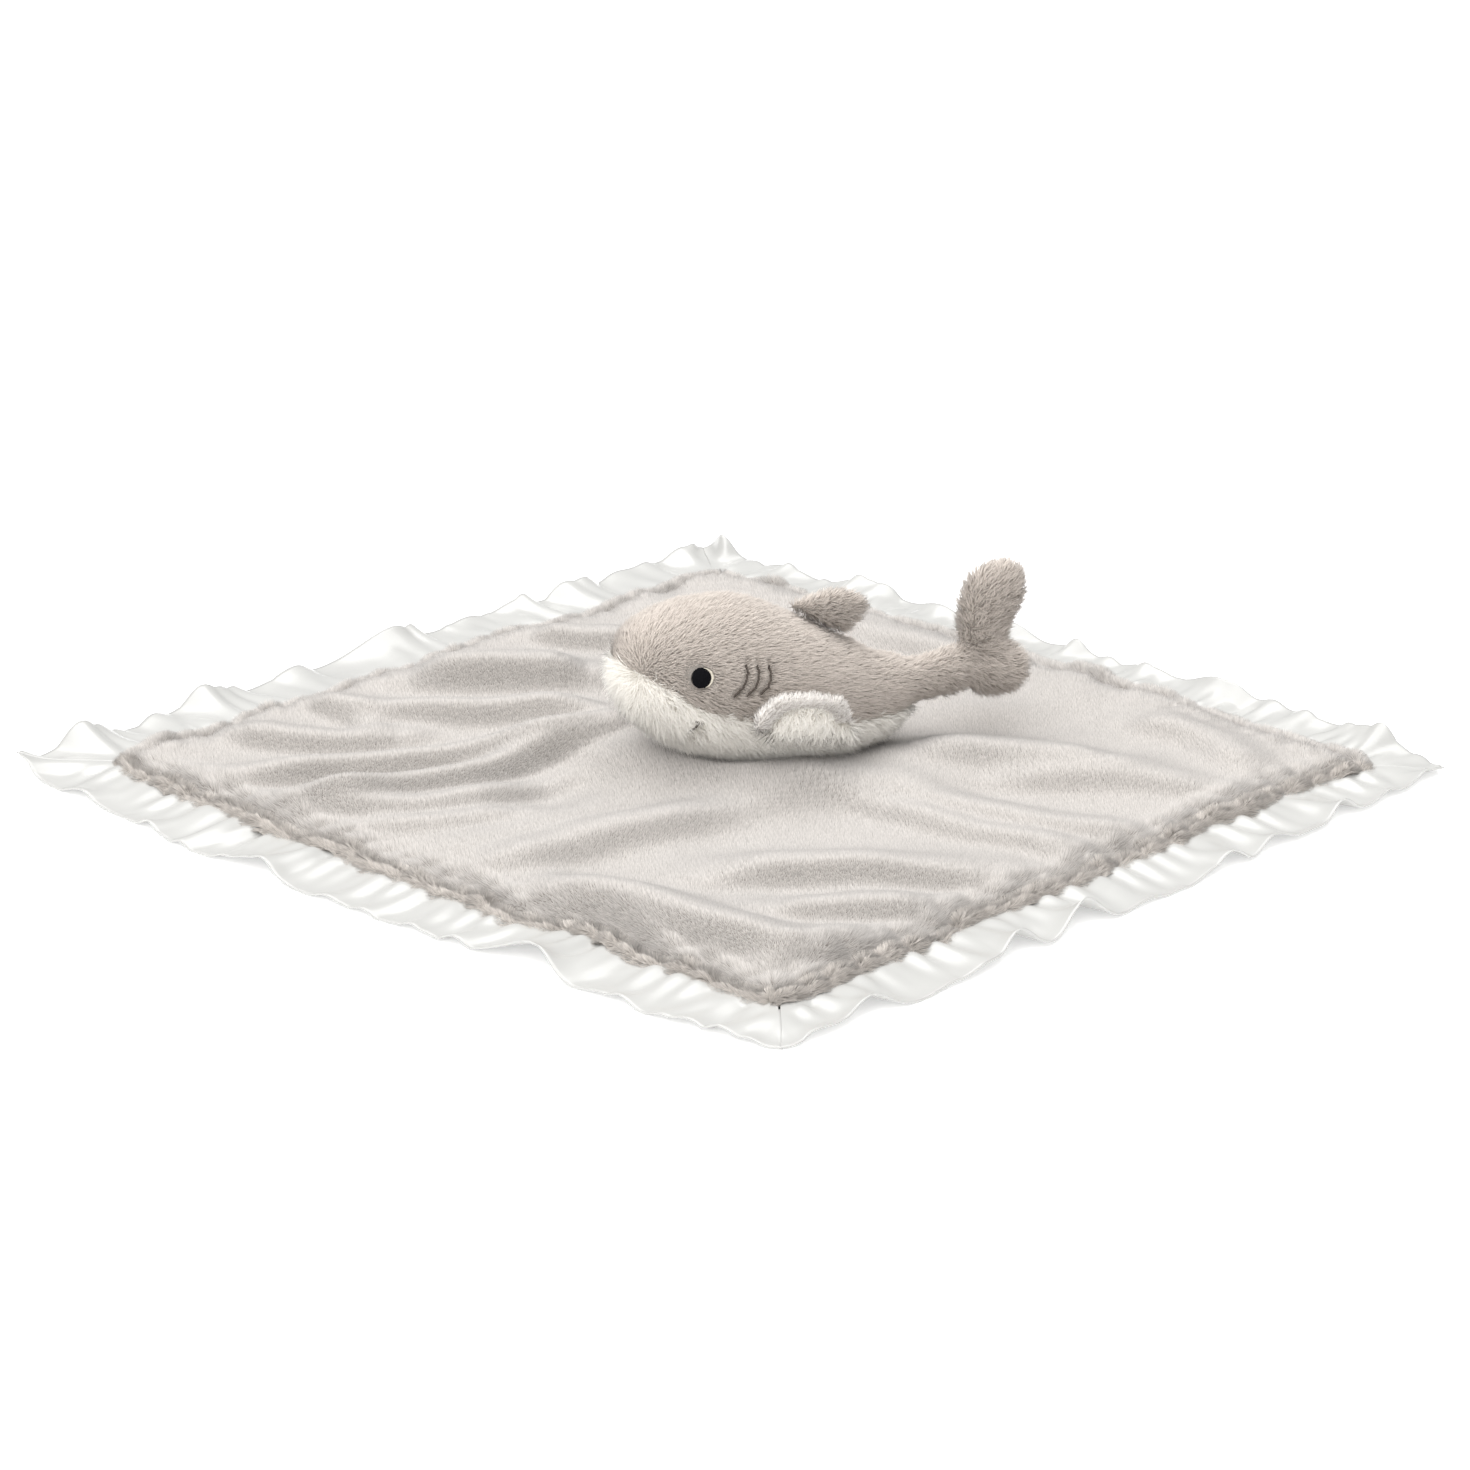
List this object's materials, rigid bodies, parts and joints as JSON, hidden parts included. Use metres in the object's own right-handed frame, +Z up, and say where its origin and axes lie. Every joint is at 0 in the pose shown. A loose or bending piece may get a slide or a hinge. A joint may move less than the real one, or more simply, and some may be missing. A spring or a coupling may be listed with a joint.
{
  "type": "plush shark comfort blanket",
  "caption": "Flat plush comfort blanket with a gathered satin ruffle and a stuffed plush shark sewn to its middle, with soft fins and tail.",
  "frame": {"origin": "centre of the blanket's outline, on the flat underside that it rests on", "axes": "+Z up, out of the blanket's plush face; +X along the blanket's longer side, +Y along its shorter side; the shark's nose points towards -X and -Y"},
  "size_m": [0.444, 0.422, 0.0848],
  "materials": {
    "blanket_plush": "matte",
    "satin_white": "satin",
    "shark_plush": "matte",
    "belly_plush": "matte",
    "stuffing": "matte",
    "patch_felt": "matte",
    "sewing_thread": "satin",
    "embroidery_black": "satin",
    "embroidery_cream": "satin",
    "embroidery_grey": "satin"
  },
  "bodies": {
    "blanket": {"blanket_top_panel": "blanket_plush", "blanket_back_panel": "blanket_plush", "satin_ruffle_front": "satin_white", "satin_ruffle_right": "satin_white", "satin_ruffle_back": "satin_white", "satin_ruffle_left": "satin_white", "blanket_topstitch": "sewing_thread"},
    "anchor": {"anchor_patch": "patch_felt", "anchor_stitches": "sewing_thread"},
    "shark_body": {"body_panel_left": "shark_plush", "body_panel_right": "shark_plush", "belly_panel": "belly_plush", "body_stuffing": "stuffing", "eye_left": "embroidery_black", "eye_right": "embroidery_black", "eye_rim_left": "embroidery_cream", "eye_rim_right": "embroidery_cream", "gill_stitches_left": "embroidery_grey", "gill_stitches_right": "embroidery_grey", "mouth_stitch_left": "embroidery_grey", "mouth_stitch_right": "embroidery_grey"},
    "tail_stock": {"tail_panel_left": "shark_plush", "tail_panel_right": "shark_plush", "tail_stuffing": "stuffing"},
    "tail_fin": {"tail_fin_panel_left": "shark_plush", "tail_fin_panel_right": "shark_plush", "tail_fin_wadding": "stuffing"},
    "dorsal_fin": {"dorsal_fin_panel_left": "shark_plush", "dorsal_fin_panel_right": "shark_plush", "dorsal_fin_wadding": "stuffing"},
    "pectoral_fin_left": {"pectoral_fin_left_upper_panel": "shark_plush", "pectoral_fin_left_under_panel": "belly_plush", "pectoral_fin_left_wadding": "stuffing"},
    "pectoral_fin_right": {"pectoral_fin_right_upper_panel": "shark_plush", "pectoral_fin_right_under_panel": "belly_plush", "pectoral_fin_right_wadding": "stuffing"}
  },
  "joints": [
    {"name": "shark_swivel", "type": "hinge", "parent": "blanket", "child": "anchor", "pos_m": [0.02396, 0.01486, 0.0082], "axis": [0, 0, 1], "range_deg": [-25, 25], "stiffness_Nm_per_rad": 0.05},
    {"name": "shark_rock", "type": "hinge", "parent": "anchor", "child": "shark_body", "pos_m": [0.02396, 0.01486, 0.0085], "axis": [0.8918, -0.4524, 0], "range_deg": [-6, 6], "stiffness_Nm_per_rad": 2},
    {"name": "tail_swing", "type": "hinge", "parent": "shark_body", "child": "tail_stock", "pos_m": [0.04681, 0.05989, 0.0382], "axis": [0, 0, 1], "range_deg": [-25, 25], "stiffness_Nm_per_rad": 0.04},
    {"name": "tail_fin_bend", "type": "hinge", "parent": "tail_stock", "child": "tail_fin", "pos_m": [0.0574, 0.08076, 0.04], "axis": [0, 0, 1], "range_deg": [-35, 35], "stiffness_Nm_per_rad": 0.02},
    {"name": "dorsal_fin_flop", "type": "hinge", "parent": "shark_body", "child": "dorsal_fin", "pos_m": [0.02783, 0.02248, 0.07251], "axis": [0.3935, 0.7756, -0.4935], "range_deg": [-55, 40], "stiffness_Nm_per_rad": 0.02},
    {"name": "pectoral_fin_left_fold", "type": "hinge", "parent": "shark_body", "child": "pectoral_fin_left", "pos_m": [0.05115, -0.0143, 0.03699], "axis": [0.2689, 0.9441, -0.1908], "range_deg": [0, 100], "stiffness_Nm_per_rad": 0.02},
    {"name": "pectoral_fin_right_fold", "type": "hinge", "parent": "shark_body", "child": "pectoral_fin_right", "pos_m": [-0.01562, 0.01957, 0.03699], "axis": [-0.603, -0.7746, 0.1908], "range_deg": [0, 100], "stiffness_Nm_per_rad": 0.02}
  ]
}
